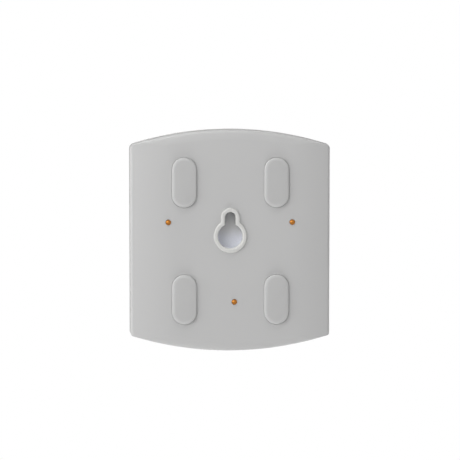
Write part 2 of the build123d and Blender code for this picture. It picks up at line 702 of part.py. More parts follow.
def sounder_case():
    """Round can with a sound port on top and a ledge inside for the piezo disc."""
    top_z = BOARD_TOP_Z + SOUNDER_HEIGHT
    inner_radius = SOUNDER_RADIUS - SOUNDER_WALL
    ledge_radius = inner_radius - SOUNDER_LEDGE
    ledge_z = top_z - PIEZO_DEPTH
    can = turned(
        (inner_radius, BOARD_TOP_Z),
        (SOUNDER_RADIUS, BOARD_TOP_Z),
        (SOUNDER_RADIUS, top_z),
        (SOUNDER_PORT_RADIUS, top_z),
        (SOUNDER_PORT_RADIUS, top_z - SOUNDER_WALL),
        (inner_radius, top_z - SOUNDER_WALL),
        (inner_radius, ledge_z),
        (ledge_radius, ledge_z),
        (ledge_radius, ledge_z - SOUNDER_WALL),
        (inner_radius, ledge_z - SOUNDER_WALL),
    )
    return Pos(0, SOUNDER_Y) * can


def piezo_disc():
    """Thin disc that rests on the sounder's ledge."""
    radius = SOUNDER_RADIUS - SOUNDER_WALL - PIEZO_FIT
    low_z = BOARD_TOP_Z + SOUNDER_HEIGHT - PIEZO_DEPTH
    return Pos(0, SOUNDER_Y) * disc(radius, low_z, low_z + PIEZO_THICKNESS)


def sounder_gasket():
    """Foam ring that leads the sound from the can's port to the slots in the front cover."""
    face = Circle(FOAM_RADIUS) - Circle(FOAM_RADIUS - FOAM_WIDTH)
    return Pos(0, SOUNDER_Y) * prism(face, BOARD_TOP_Z + SOUNDER_HEIGHT, CEILING_Z)


def sound_membrane():
    """Thin membrane behind the sound slots that lets sound out and keeps water out."""
    return Pos(0, SOUNDER_Y) * disc(MEMBRANE_RADIUS, CEILING_Z - MEMBRANE_THICKNESS, CEILING_Z)


# Radio module

def radio_board():
    """Small carrier board on the main board."""
    return Pos(RADIO_X, 0) * block(RADIO_WIDTH, RADIO_LENGTH, BOARD_TOP_Z, RADIO_TOP_Z)


def radio_shield():
    """Folded metal can over the radio chip."""
    width = RADIO_WIDTH - 2 * SHIELD_MARGIN
    top_z = RADIO_TOP_Z + SHIELD_HEIGHT
    can = block(width, SHIELD_LENGTH, RADIO_TOP_Z, top_z)
    inner_width = width - 2 * SHIELD_SHEET
    inner_length = SHIELD_LENGTH - 2 * SHIELD_SHEET
    can -= block(inner_width, inner_length, RADIO_TOP_Z - OVERCUT, top_z - SHIELD_SHEET)
    return Pos(RADIO_X, RADIO_LENGTH / 2 - SHIELD_MARGIN - SHIELD_LENGTH / 2) * can


def radio_aerial():
    """Metal strip that runs to and fro along the module's lower end."""
    near_y = SHIELD_MARGIN - RADIO_LENGTH / 2
    start_x = RADIO_X - AERIAL_PITCH * (AERIAL_LEGS - 1) / 2
    corners = []
    for leg in range(AERIAL_LEGS):
        ends = [near_y, near_y + AERIAL_DEPTH]
        if leg % 2:
            ends.reverse()
        corners += [(start_x + leg * AERIAL_PITCH, y) for y in ends]
    line = trace(Polyline(*corners), line_width=AERIAL_STRIP)
    return prism(line, RADIO_TOP_Z, RADIO_TOP_Z + AERIAL_THICKNESS)


# Other parts on the board

def controller_chip():
    """Flat square chip."""
    return Pos(CHIP_X, CHIP_Y) * block(CHIP_SIZE, CHIP_SIZE, BOARD_TOP_Z, BOARD_TOP_Z + CHIP_HEIGHT)


def chip_capacitors():
    """Two rows of small capacitors beside the controller chip."""
    chip = block(CAPACITOR_LENGTH, CAPACITOR_WIDTH, BOARD_TOP_Z, BOARD_TOP_Z + CAPACITOR_WIDTH)
    rows = GridLocations(CAPACITOR_PITCH, CAPACITOR_PITCH, CAPACITORS_IN_ROW, CAPACITOR_ROWS)
    group_y = CHIP_Y + CHIP_SIZE / 2 + CAPACITOR_PITCH
    return Part() + [Pos(CHIP_X, group_y) * place * chip for place in rows]


def boost_coil():
    """Drum coil that raises the sounder's voltage."""
    top_z = BOARD_TOP_Z + COIL_HEIGHT
    drum = turned(
        (0, BOARD_TOP_Z),
        (COIL_RADIUS, BOARD_TOP_Z),
        (COIL_RADIUS, BOARD_TOP_Z + COIL_CHEEK),
        (COIL_WAIST, BOARD_TOP_Z + COIL_CHEEK),
        (COIL_WAIST, top_z - COIL_CHEEK),
        (COIL_RADIUS, top_z - COIL_CHEEK),
        (COIL_RADIUS, top_z),
        (0, top_z),
    )
    return Pos(CHIP_X, COIL_Y) * drum


def reservoir_capacitor():
    """Round can on a square base."""
    base_top_z = BOARD_TOP_Z + RESERVOIR_BASE
    can = disc(RESERVOIR_RADIUS, base_top_z, BOARD_TOP_Z + RESERVOIR_HEIGHT)
    base = block(2 * RESERVOIR_RADIUS, 2 * RESERVOIR_RADIUS, BOARD_TOP_Z, base_top_z)
    return Pos(RESERVOIR_X, COIL_Y) * (can + base)


def sensor():
    """Every node of the sensor, by name."""
    nodes = {
        "rear_cover": rear_cover(),
        "front_cover": front_cover(),
        "cover_gasket": cover_gasket(),
        "cover_screws": cover_screws(),
        "hanger_cup": hanger_cup(),
        "hanger_seal": hanger_seal(),
        "circuit_board": circuit_board(),
        "coin_cell": coin_cell(),
        "cell_holder": cell_holder(),
        "cell_contact_minus": cell_contact_minus(),
        "cell_contact_plus": cell_contact_plus(),
        "light_ring": light_ring(),
        "test_button": test_button(),
        "switch_body": switch_body(),
        "switch_plunger": switch_plunger(),
        "status_lamps": status_lamps(),
        "sounder_case": sounder_case(),
        "piezo_disc": piezo_disc(),
        "sounder_gasket": sounder_gasket(),
        "sound_membrane": sound_membrane(),
        "radio_board": radio_board(),
        "radio_shield": radio_shield(),
        "radio_aerial": radio_aerial(),
        "controller_chip": controller_chip(),
        "chip_capacitors": chip_capacitors(),
        "boost_coil": boost_coil(),
        "reservoir_capacitor": reservoir_capacitor(),
    }
    for place, (x, y) in FOOT_SITES.items():
        nodes[f"foot_{place}"] = Pos(x, y) * foot()
    for place, (x, y) in PROBE_SITES.items():
        nodes[f"probe_{place}"] = Pos(x, y) * probe_pin()
        nodes[f"probe_seal_{place}"] = Pos(x, y) * probe_seal()
        nodes[f"probe_contact_{place}"] = Pos(x, y) * probe_contact()
    return nodes


os.makedirs("parts", exist_ok=True)
for name, solid in sensor().items():
    solid.label = name
    export_step(solid, f"parts/{name}.step")
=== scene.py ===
import json
import math

import bmesh
import bpy
from mathutils import Matrix, Vector


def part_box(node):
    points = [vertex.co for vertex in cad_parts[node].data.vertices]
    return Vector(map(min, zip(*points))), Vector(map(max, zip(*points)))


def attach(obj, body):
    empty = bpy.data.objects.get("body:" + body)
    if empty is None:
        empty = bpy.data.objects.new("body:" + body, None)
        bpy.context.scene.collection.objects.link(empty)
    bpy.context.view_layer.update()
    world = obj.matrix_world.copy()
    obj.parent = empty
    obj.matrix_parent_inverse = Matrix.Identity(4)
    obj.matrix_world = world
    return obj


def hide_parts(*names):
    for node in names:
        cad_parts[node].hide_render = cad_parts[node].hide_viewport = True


# A floor sensor for water leaks, seen from behind. Sizes are in metres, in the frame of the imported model:
# it stands on its feet at z = 0 with its front cover up, and upper is +Y.

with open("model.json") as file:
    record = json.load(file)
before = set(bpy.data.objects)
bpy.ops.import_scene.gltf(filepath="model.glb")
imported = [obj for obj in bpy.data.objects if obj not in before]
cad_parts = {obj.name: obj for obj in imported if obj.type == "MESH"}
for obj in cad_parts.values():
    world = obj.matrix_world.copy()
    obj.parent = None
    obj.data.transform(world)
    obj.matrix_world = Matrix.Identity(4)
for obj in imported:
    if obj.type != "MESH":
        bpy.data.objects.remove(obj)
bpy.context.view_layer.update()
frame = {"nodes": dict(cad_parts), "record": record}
nodes = frame["nodes"]

MM = 0.001

# How close points are joined, and the widest angle that still counts as a smooth surface
WELD_DISTANCE = 0.002 * MM
SMOOTH_ANGLE = math.radians(28)

# Covers: the outline, and the big faces that curve away to the sides and roll off to the bowed ends
CASE_WIDTH = 70.8 * MM
CASE_LENGTH = 78.2 * MM
END_BOW = 5.5 * MM
END_RADIUS = ((CASE_WIDTH / 2) ** 2 + END_BOW**2) / (2 * END_BOW)
FLAT_WIDTH = 40.0 * MM
SIDE_CURVE_RADIUS = 80.0 * MM
END_ROLL_WIDTH = 4.0 * MM
END_ROLL_RADIUS = 11.0 * MM
REAR_INSET = 0.4 * MM
REAR_EDGE_RADIUS = 1.2 * MM
FRONT_EDGE_RADIUS = 1.5 * MM

# Shading of the covers: how far a point may lie from a face's true curve, the least cosine between normals of
# the curve and of a triangle, and the z part of a normal below which a triangle counts as part of a wall
FORM_TOLERANCE = 0.03 * MM
SAME_SURFACE = math.cos(math.radians(20))
UPRIGHT = 0.01

# How far the grain moves a plastic's roughness to either side, and the range of the hanger's own
ROUGHNESS_SPREAD = 0.05
HANGER_ROUGHNESS = (0.30, 0.42)

# Feet: soft pads with a thin gap round them, rolling over to a flat sole, with painted light on the rolled
# rim
FOOT_GAP = 0.07 * MM
FOOT_ROLL_WIDTH = 1.6 * MM
FOOT_ROLL_HEIGHT = 0.5 * MM
FOOT_PAINTED_LIGHT_HEIGHT = 0.08 * MM
FOOT_RIM_PAINTED_LIGHT = (0.51, 0.51, 0.508, 1.0)
FOOT_ROLL_STEPS = 9
FOOT_END_STEPS = 32

# Edges that the moulds leave round, where they turn by EDGE_ANGLE or more: the hanger's rim, the light ring
# and the button, whose sloped edge is BUTTON_EDGE high
RIM_ROUND = 0.42 * MM
RING_ROUND = 0.18 * MM
BUTTON_ROUND = 0.22 * MM
BUTTON_EDGE = 0.4 * MM
ROUND_STEPS = 4
EDGE_ANGLE = math.radians(30)

# Heights between which the hanger's own plastic gives way to the paler one of its pocket, a cooler white
# raised near white as painted light, and places along y between which the pocket's round end gives way to a
# painted shade of grey in its narrow end
POCKET_FROM = 2.4 * MM
POCKET_TO = 4.2 * MM
SLOT_SHADE_FROM = 0.0 * MM
SLOT_SHADE_TO = 5.0 * MM
SLOT_PAINTED_SHADE = (0.81, 0.81, 0.81, 1.0)

# Probe pins
PIN_RADIUS = 0.95 * MM
PIN_DOME = 0.5 * MM
PIN_CORNER = 0.22 * MM
PIN_STUB_RADIUS = 0.8 * MM
PIN_FLANGE_RADIUS = 1.9 * MM
PIN_FLANGE_THICKNESS = 0.8 * MM
PIN_FLANGE_FROM_TIP = 3.5 * MM
PIN_STEPS = 48
PIN_DOME_STEPS = 8

# Cover screws
SCREW_CREST_RADIUS = 1.28 * MM
SCREW_ROOT_RADIUS = 1.02 * MM
SCREW_HEAD_RADIUS = 2.4 * MM
SCREW_HEAD_HEIGHT = 1.6 * MM
SCREW_HEAD_ROUND = 0.5 * MM
THREAD_PITCH = 0.9 * MM
THREAD_STEPS = 24
ROWS_PER_TURN = 6

# Wire round the coil
WIRE_RADIUS = 0.12 * MM
WIRE_STEPS = 8
WIRE_STEPS_PER_TURN = 32
COIL_WAIST = 2.2 * MM
COIL_CHEEK = 0.8 * MM

# Pads round the chip, the metal ends of the small capacitors, and the share of such a block's least size by
# which its edges are worn
PADS_PER_SIDE = 8
PAD_PITCH = 0.75 * MM
PAD_SIZE = 0.36 * MM
PAD_HEIGHT = 0.12 * MM
CAPACITOR_LENGTH = 1.6 * MM
CAPACITOR_WIDTH = 0.8 * MM
CAPACITOR_PITCH = 2.4 * MM
CAPACITORS_IN_ROW = 3
CAPACITOR_ROWS = 2
END_CAP_LENGTH = 0.35 * MM
END_CAP_PROUD = 0.02 * MM
WORN_SHARE = 1 / 6

# Photograph: image centre, the middle of the back in it, and the size of one of its pixels on the back
IMAGE_WIDTH = 460
IMAGE_MIDDLE = IMAGE_WIDTH / 2
BACK_MIDDLE_PX = (230.4, 241.1)
PIXEL = 0.35 * MM

# Camera, below the sensor, turned a little towards its upper end and its left side
CAMERA_DISTANCE = 0.70
CAMERA_TILT = math.radians(3.9)
CAMERA_TURN = math.radians(2.4)
SENSOR_WIDTH = 36.0

# Room: the floor, how far out it fades to white, and the level of the light that comes from all round
FLOOR_SIZE = 3.0
FLOOR_FADE_FROM = 0.09
FLOOR_FADE_TO = 0.45
ROOM_LIGHT = 0.24


# Shader groups that several finishes share

def add_node(tree, kind, **settings):
    """A node with its properties set."""
    node = tree.nodes.new(kind)
    for key, value in settings.items():
        setattr(node, key, value)
    return node


def new_group(name, inputs, outputs):
    """An empty shader group with the named sockets, and its two end nodes."""
    group = bpy.data.node_groups.new(name, "ShaderNodeTree")
    for label, kind, value in inputs:
        socket = group.interface.new_socket(label, in_out="INPUT", socket_type=kind)
        socket.default_value = value
    for label, kind in outputs:
        group.interface.new_socket(label, in_out="OUTPUT", socket_type=kind)
    return group, add_node(group, "NodeGroupInput"), add_node(group, "NodeGroupOutput")


def moulded_grain_group():
    """Fine spark-eroded grain of a mould: a normal and a fleck mask."""
    group, start, end = new_group(
        "Moulded grain",
        [("Grains per metre", "NodeSocketFloat", 4000.0), ("Relief", "NodeSocketFloat", 0.02 * MM),
         ("Strength", "NodeSocketFloat", 0.3)],
        [("Normal", "NodeSocketVector"), ("Fleck", "NodeSocketFloat")],
    )
    place = add_node(group, "ShaderNodeTexCoord")
    fine = add_node(group, "ShaderNodeTexNoise", noise_dimensions="3D")
    fine.inputs["Detail"].default_value = 3.0
    fine.inputs["Roughness"].default_value = 0.6
    bump = add_node(group, "ShaderNodeBump")
    link = group.links.new
    link(place.outputs["Object"], fine.inputs["Vector"])
    link(start.outputs["Grains per metre"], fine.inputs["Scale"])
    link(fine.outputs["Fac"], bump.inputs["Height"])
    link(start.outputs["Relief"], bump.inputs["Distance"])
    link(start.outputs["Strength"], bump.inputs["Strength"])
    link(bump.outputs["Normal"], end.inputs["Normal"])
    link(fine.outputs["Fac"], end.inputs["Fleck"])
    return group


def tone_drift_group():
    """Slow drift of a colour over a moulding, with faint flecks in it."""
    group, start, end = new_group(
        "Tone drift",
        [("Colour", "NodeSocketColor", (0.5, 0.5, 0.5, 1.0)),
         ("Second colour", "NodeSocketColor", (0.5, 0.5, 0.5, 1.0)),
         ("Patches per metre", "NodeSocketFloat", 40.0), ("Fleck", "NodeSocketFloat", 0.5),
         ("Fleck share", "NodeSocketFloat", 0.03)],
        [("Colour", "NodeSocketColor")],
    )
    place = add_node(group, "ShaderNodeTexCoord")
    slow = add_node(group, "ShaderNodeTexNoise", noise_dimensions="3D")
    slow.inputs["Detail"].default_value = 2.0
    blend = add_node(group, "ShaderNodeMix", data_type="RGBA")
    centre = add_node(group, "ShaderNodeMath", operation="SUBTRACT")
    centre.inputs[1].default_value = 0.5
    weigh = add_node(group, "ShaderNodeMath", operation="MULTIPLY")
    level = add_node(group, "ShaderNodeMath", operation="ADD")
    level.inputs[1].default_value = 1.0
    tint = add_node(group, "ShaderNodeVectorMath", operation="SCALE")
    link = group.links.new
    link(place.outputs["Object"], slow.inputs["Vector"])
    link(start.outputs["Patches per metre"], slow.inputs["Scale"])
    link(slow.outputs["Fac"], blend.inputs["Factor"])
    link(start.outputs["Colour"], blend.inputs["A"])
    link(start.outputs["Second colour"], blend.inputs["B"])
    link(start.outputs["Fleck"], centre.inputs[0])
    link(centre.outputs["Value"], weigh.inputs[0])
    link(start.outputs["Fleck share"], weigh.inputs[1])
    link(weigh.outputs["Value"], level.inputs[0])
    link(blend.outputs["Result"], tint.inputs[0])
    link(level.outputs["Value"], tint.inputs["Scale"])
    link(tint.outputs["Vector"], end.inputs["Colour"])
    return group


def rolled_metal_group():
    """Drawn or rolled metal: marks stretched along one direction, as a roughness, a normal and a mask."""
    group, start, end = new_group(
        "Rolled metal",
        [("Marks per metre", "NodeSocketFloat", 3000.0), ("Stretch", "NodeSocketVector", (1.0, 0.05, 1.0)),
         ("Smoothest", "NodeSocketFloat", 0.2), ("Roughest", "NodeSocketFloat", 0.4),
         ("Relief", "NodeSocketFloat", 0.01 * MM)],
        [("Roughness", "NodeSocketFloat"), ("Normal", "NodeSocketVector"), ("Marks", "NodeSocketFloat")],
    )
    place = add_node(group, "ShaderNodeTexCoord")
    stretch = add_node(group, "ShaderNodeVectorMath", operation="MULTIPLY")
    marks = add_node(group, "ShaderNodeTexNoise", noise_dimensions="3D")
    marks.inputs["Detail"].default_value = 4.0
    spread = add_node(group, "ShaderNodeMapRange")
    bump = add_node(group, "ShaderNodeBump")
    bump.inputs["Strength"].default_value = 0.4
    link = group.links.new
    link(place.outputs["Object"], stretch.inputs[0])
    link(start.outputs["Stretch"], stretch.inputs[1])
    link(stretch.outputs["Vector"], marks.inputs["Vector"])
    link(start.outputs["Marks per metre"], marks.inputs["Scale"])
    link(marks.outputs["Fac"], spread.inputs["Value"])
    link(start.outputs["Smoothest"], spread.inputs["To Min"])
    link(start.outputs["Roughest"], spread.inputs["To Max"])
    link(marks.outputs["Fac"], bump.inputs["Height"])
    link(start.outputs["Relief"], bump.inputs["Distance"])
    link(spread.outputs["Result"], end.inputs["Roughness"])
    link(bump.outputs["Normal"], end.inputs["Normal"])
    link(marks.outputs["Fac"], end.inputs["Marks"])
    return group


GRAIN = moulded_grain_group()
DRIFT = tone_drift_group()
ROLLED = rolled_metal_group()


# What finishes are made of

def tree_of(material):
    """A material's node tree and the Principled shader in it."""
    return material.node_tree, material.node_tree.nodes["Principled BSDF"]


def new_material(name):
    """A material, its node tree and its Principled shader."""
    material = bpy.data.materials.new(name)
    material.use_nodes = True
    return material, *tree_of(material)


def place_group(tree, group, **values):
    """A shader group in a material, with its own values. An underscore in a name stands for a space."""
    node = add_node(tree, "ShaderNodeGroup", node_tree=group)
    for key, value in values.items():
        node.inputs[key.replace("_", " ")].default_value = value
    return node


def grain_surface(tree, shader, grain, smoothest, roughest):
    """Gives a shader the relief of its grain, and a roughness that follows the flecks."""
    spread = add_node(tree, "ShaderNodeMapRange")
    spread.inputs["To Min"].default_value = smoothest
    spread.inputs["To Max"].default_value = roughest
    tree.links.new(grain.outputs["Fleck"], spread.inputs["Value"])
    tree.links.new(spread.outputs["Result"], shader.inputs["Roughness"])
    tree.links.new(grain.outputs["Normal"], shader.inputs["Normal"])


def plastic(name, colour, second, roughness, grains=4000.0, strength=0.25):
    """Moulded plastic or rubber: drifting colour, fleck and grain."""
    material, tree, shader = new_material(name)
    grain = place_group(tree, GRAIN, Grains_per_metre=grains, Relief=0.02 * MM, Strength=strength)
    tone = place_group(
        tree, DRIFT, Colour=(*colour, 1.0), Second_colour=(*second, 1.0), Patches_per_metre=30.0
    )
    tree.links.new(grain.outputs["Fleck"], tone.inputs["Fleck"])
    tree.links.new(tone.outputs["Colour"], shader.inputs["Base Color"])
    grain_surface(tree, shader, grain, roughness - ROUGHNESS_SPREAD, roughness + ROUGHNESS_SPREAD)
    return material


def metal(name, colour, second, smoothest, roughest, stretch=(1.0, 0.06, 1.0)):
    """Plated or rolled metal."""
    material, tree, shader = new_material(name)
    rolled = place_group(
        tree, ROLLED, Marks_per_metre=2500.0, Stretch=stretch, Smoothest=smoothest, Roughest=roughest
    )
    tone = place_group(
        tree, DRIFT, Colour=(*colour, 1.0), Second_colour=(*second, 1.0), Patches_per_metre=200.0
    )
    link = tree.links.new
    link(rolled.outputs["Marks"], tone.inputs["Fleck"])
    link(tone.outputs["Colour"], shader.inputs["Base Color"])
    link(rolled.outputs["Roughness"], shader.inputs["Roughness"])
    link(rolled.outputs["Normal"], shader.inputs["Normal"])
    shader.inputs["Metallic"].default_value = 1.0
    return material


def rise_mask(tree, axis, low, high):
    """A mask that rises from 0 to 1 between two places along one axis of the piece."""
    place = add_node(tree, "ShaderNodeTexCoord")
    axes = add_node(tree, "ShaderNodeSeparateXYZ")
    rise = add_node(tree, "ShaderNodeMapRange", interpolation_type="SMOOTHSTEP")
    rise.inputs["From Min"].default_value = low
    rise.inputs["From Max"].default_value = high
    tree.links.new(place.outputs["Object"], axes.inputs["Vector"])
    tree.links.new(axes.outputs[axis], rise.inputs["Value"])
    return rise.outputs["Result"]


def mixed_colour(tree, mask, first, second):
    """One colour where the mask is 0, and where it is 1 the second one: a socket or a fixed colour."""
    mix = add_node(tree, "ShaderNodeMix", data_type="RGBA")
    tree.links.new(mask, mix.inputs["Factor"])
    tree.links.new(first, mix.inputs["A"])
    if isinstance(second, tuple):
        mix.inputs["B"].default_value = second
    else:
        tree.links.new(second, mix.inputs["B"])
    return mix.outputs["Result"]


# Finishes

def rear_shell_finish():
    """Pale grey satin plastic of the back."""
    return plastic("rear_shell", (0.50, 0.50, 0.50), (0.515, 0.513, 0.51), 0.5)


def front_shell_finish():
    """Slightly lighter satin plastic of the front cover."""
    return plastic("front_shell", (0.56, 0.56, 0.555), (0.575, 0.573, 0.565), 0.45)


def button_finish():
    """The front cover's plastic, a little smoother."""
    return plastic("button", (0.55, 0.55, 0.545), (0.565, 0.563, 0.555), 0.38, strength=0.15)


def hanger_finish():
    """Smooth ivory plastic of the keyhole cup. Its pocket is paler, partly as painted light, and finely
    speckled in the round end; its narrow end is painted shade in grey.
    """
    material, tree, shader = new_material("hanger")
    grain = place_group(tree, GRAIN, Grains_per_metre=3500.0, Relief=0.01 * MM, Strength=0.15)
    rim = place_group(
        tree, DRIFT, Colour=(0.60, 0.60, 0.585, 1.0), Second_colour=(0.62, 0.617, 0.60, 1.0),
        Patches_per_metre=60.0
    )
    # Painted light: the pocket's cool white is raised close to white, so the deep pocket looks brightly lit
    pocket = place_group(
        tree, DRIFT, Colour=(0.88, 0.895, 0.96, 1.0), Second_colour=(0.94, 0.95, 1.0, 1.0),
        Patches_per_metre=500.0, Fleck_share=0.25
    )
    tree.links.new(grain.outputs["Fleck"], rim.inputs["Fleck"])
    tree.links.new(grain.outputs["Fleck"], pocket.inputs["Fleck"])
    # Painted shade: the pocket's narrow end turns to a darker grey
    slot_shade_mask = rise_mask(tree, "Y", SLOT_SHADE_FROM, SLOT_SHADE_TO)
    inside = mixed_colour(tree, slot_shade_mask, pocket.outputs["Colour"], SLOT_PAINTED_SHADE)
    depth = rise_mask(tree, "Z", POCKET_FROM, POCKET_TO)
    colour = mixed_colour(tree, depth, rim.outputs["Colour"], inside)
    tree.links.new(colour, shader.inputs["Base Color"])
    grain_surface(tree, shader, grain, *HANGER_ROUGHNESS)
    return material


def foot_finish():
    """Soft silicone in the case's colour, its rolled rim painted paler as painted light."""
    material = plastic("feet", (0.47, 0.47, 0.47), (0.485, 0.484, 0.48), 0.6, strength=0.2)
    tree, shader = tree_of(material)
    shader.inputs["Sheen Weight"].default_value = 0.1
    sole = shader.inputs["Base Color"].links[0].from_socket
    # Painted light: the rolled rim is paler than the sole
    roll = rise_mask(tree, "Z", 0.0, FOOT_PAINTED_LIGHT_HEIGHT)
    colour = mixed_colour(tree, roll, sole, FOOT_RIM_PAINTED_LIGHT)
    tree.links.new(colour, shader.inputs["Base Color"])
    return material


def seal_finish():
    """Dark silicone of the gasket and the pin seals."""
    return plastic("seal", (0.10, 0.10, 0.105), (0.12, 0.12, 0.12), 0.6)


def foam_finish():
    """Black closed-cell foam."""
    return plastic("foam", (0.02, 0.02, 0.02), (0.035, 0.035, 0.035), 0.85, grains=1800.0, strength=0.8)


def gold_finish():
    """Gold plate on the probe pins, darkened to a brown as painted shade for the dim surroundings they
    reflect.
    """
    return metal("gold", (0.34, 0.135, 0.025), (0.42, 0.17, 0.04), 0.22, 0.32, stretch=(1.0, 1.0, 1.0))


def spring_finish():
    """Bright nickel plate of the contacts."""
    return metal("spring_metal", (0.66, 0.65, 0.62), (0.72, 0.71, 0.68), 0.20, 0.34)


def screw_finish():
    """Zinc plate of the screws."""
    return metal("screw_steel", (0.55, 0.56, 0.58), (0.62, 0.62, 0.62), 0.25, 0.42, stretch=(1.0, 1.0, 0.1))


def cell_finish():
    """Polished nickel of the coin cell."""
    return metal("cell_steel", (0.68, 0.68, 0.67), (0.74, 0.74, 0.73), 0.14, 0.26, stretch=(1.0, 1.0, 0.2))


def can_finish():
    """Bare drawn metal of the shield and the capacitor can."""
    return metal("can", (0.66, 0.67, 0.68), (0.72, 0.73, 0.73), 0.26, 0.40)


def wire_finish():
    """Enamelled copper wire."""
    return metal("wire", (0.60, 0.24, 0.09), (0.72, 0.32, 0.13), 0.22, 0.34, stretch=(1.0, 1.0, 1.0))


def piezo_finish():
    """Brass of the sounder's disc."""
    return metal("piezo", (0.70, 0.52, 0.24), (0.78, 0.60, 0.30), 0.25, 0.40)


def black_plastic_finish():
    """Black moulded plastic of the cell holder, the switch and the sounder."""
    return plastic("black_plastic", (0.018, 0.018, 0.019), (0.028, 0.028, 0.028), 0.45)


def chip_finish():
    """Dark moulded epoxy of the chip."""
    return plastic("chip", (0.025, 0.025, 0.028), (0.04, 0.04, 0.042), 0.55, grains=9000.0, strength=0.5)


def ceramic_finish():
    """Tan ceramic of the small capacitors."""
    return plastic("ceramic", (0.42, 0.30, 0.18), (0.50, 0.37, 0.24), 0.4)


def ferrite_finish():
    """Dark ferrite of the coil."""
    return plastic("ferrite", (0.045, 0.042, 0.042), (0.07, 0.065, 0.063), 0.6, grains=6000.0, strength=0.5)


def membrane_finish():
    """White woven membrane over the sound slots."""
    return plastic("membrane", (0.74, 0.74, 0.74), (0.80, 0.80, 0.79), 0.8, grains=9000.0, strength=0.6)


def light_guide_finish():
    """Frosted clear plastic of the light ring and the lamps."""
    material = plastic("light_guide", (0.80, 0.81, 0.81), (0.84, 0.85, 0.85), 0.30, strength=0.1)
    shader = tree_of(material)[1]
    shader.inputs["Subsurface Weight"].default_value = 0.3
    shader.inputs["Subsurface Scale"].default_value = 0.6 * MM
    shader.inputs["Coat Weight"].default_value = 0.2
    return material


def board_finish():
    """Green solder mask over copper tracks, with a slight gloss."""
    material, tree, shader = new_material("board")
    grain = place_group(tree, GRAIN, Grains_per_metre=5000.0, Relief=0.01 * MM, Strength=0.2)
    place = add_node(tree, "ShaderNodeTexCoord")
    tracks = add_node(tree, "ShaderNodeTexBrick")
    tracks.inputs["Scale"].default_value = 160.0
    tracks.inputs["Color1"].default_value = (0.012, 0.085, 0.035, 1.0)
    tracks.inputs["Color2"].default_value = (0.016, 0.10, 0.042, 1.0)
    tracks.inputs["Mortar"].default_value = (0.03, 0.16, 0.07, 1.0)
    tracks.inputs["Mortar Size"].default_value = 0.03
    link = tree.links.new
    link(place.outputs["Object"], tracks.inputs["Vector"])
    link(tracks.outputs["Color"], shader.inputs["Base Color"])
    link(grain.outputs["Normal"], shader.inputs["Normal"])
    shader.inputs["Roughness"].default_value = 0.32
    return material


FINISHES = {
    "rear_shell": rear_shell_finish(),
    "front_shell": front_shell_finish(),
    "button": button_finish(),
    "hanger": hanger_finish(),
    "feet": foot_finish(),
    "seal": seal_finish(),
    "foam": foam_finish(),
    "gold": gold_finish(),
    "spring_metal": spring_finish(),
    "screw_steel": screw_finish(),
    "cell_steel": cell_finish(),
    "can": can_finish(),
    "wire": wire_finish(),
    "piezo": piezo_finish(),
    "black_plastic": black_plastic_finish(),
    "chip": chip_finish(),
    "ceramic": ceramic_finish(),
    "ferrite": ferrite_finish(),
    "membrane": membrane_finish(),
    "light_guide": light_guide_finish(),
    "board": board_finish(),
}


# Pieces that keep their CAD form

def dress_nodes():
    """Gives each CAD node its finish, by the slot that the record names."""
    for row in frame["record"]["subparts"]:
        mesh = nodes[row["node"]].data
        mesh.materials.clear()
        mesh.materials.append(FINISHES[row["material_slot"]])


def new_object(name, data):
    """An object at the origin, in the scene."""
    made = bpy.data.objects.new(name, data)
    bpy.context.scene.collection.objects.link(made)
    return made


def finished_piece(name, mesh, material):
    """A smooth object from a bmesh, with its real edges sharp and without the CAD mesh's own normals."""
    mesh.normal_update()
    for face in mesh.faces:
        face.smooth = True
    for edge in mesh.edges:
        edge.smooth = edge.calc_face_angle(0.0) < SMOOTH_ANGLE
    data = bpy.data.meshes.new(name)
    mesh.to_mesh(data)
    mesh.free()
    old_normals = data.attributes.get("custom_normal")
    if old_normals:
        data.attributes.remove(old_normals)
    data.materials.append(material)
    return new_object(name, data)


def joined_copy(name):
    """A copy of a CAD node with its triangles joined."""
    mesh = bmesh.new()
    mesh.from_mesh(nodes[name].data)
    bmesh.ops.remove_doubles(mesh, verts=mesh.verts, dist=WELD_DISTANCE)
    return mesh


def round_edges(mesh, low_z, high_z, width):
    """Rounds the real edges that lie between two heights."""
    chosen = []
    for edge in mesh.edges:
        heights = [vertex.co.z for vertex in edge.verts]
        between = min(heights) >= low_z and max(heights) <= high_z
        if between and edge.calc_face_angle(0.0) >= EDGE_ANGLE:
            chosen.append(edge)
    bmesh.ops.bevel(
        mesh, geom=chosen, offset=width, offset_type="OFFSET", segments=ROUND_STEPS, profile=0.5,
        affect="EDGES", clamp_overlap=False
    )


def profile_turn(distance, flat, reach, curve_radius, edge_radius):
    """Depth and turn of a big face's profile at a distance: flat, a slow curve, the round to the wall."""
    # The round touches the slow curve from inside, so both centres and the place where they meet line up
    round_out = reach - edge_radius
    round_depth = curve_radius - math.sqrt((curve_radius - edge_radius) ** 2 - (round_out - flat) ** 2)
    meet = flat + (round_out - flat) * curve_radius / (curve_radius - edge_radius)
    if distance <= flat:
        return 0.0, 0.0
    if distance <= meet:
        turn = math.asin((distance - flat) / curve_radius)
        return curve_radius * (1 - math.cos(turn)), turn
    turn = math.asin(min(1.0, (distance - round_out) / edge_radius))
    return round_depth - edge_radius * math.cos(turn), turn


def curves_at(point, inset, edge_radius):
    """The depth and normal that a big face's side curve has at a point, and those of its end roll."""
    reach = CASE_WIDTH / 2 - inset
    depth, turn = profile_turn(abs(point.x), FLAT_WIDTH / 2, reach, SIDE_CURVE_RADIUS, edge_radius)
    from_side = (depth, Vector((math.copysign(math.sin(turn), point.x), 0.0, math.cos(turn))))
    reach = END_RADIUS - inset
    centre_y = math.copysign(CASE_LENGTH / 2 - END_RADIUS, point.y)
    out = Vector((point.x, point.y - centre_y, 0.0))
    depth, turn = profile_turn(out.length, reach - END_ROLL_WIDTH, reach, END_ROLL_RADIUS, edge_radius)
    from_end = (depth, out.normalized() * math.sin(turn) + Vector((0.0, 0.0, math.cos(turn))))
    return from_side, from_end


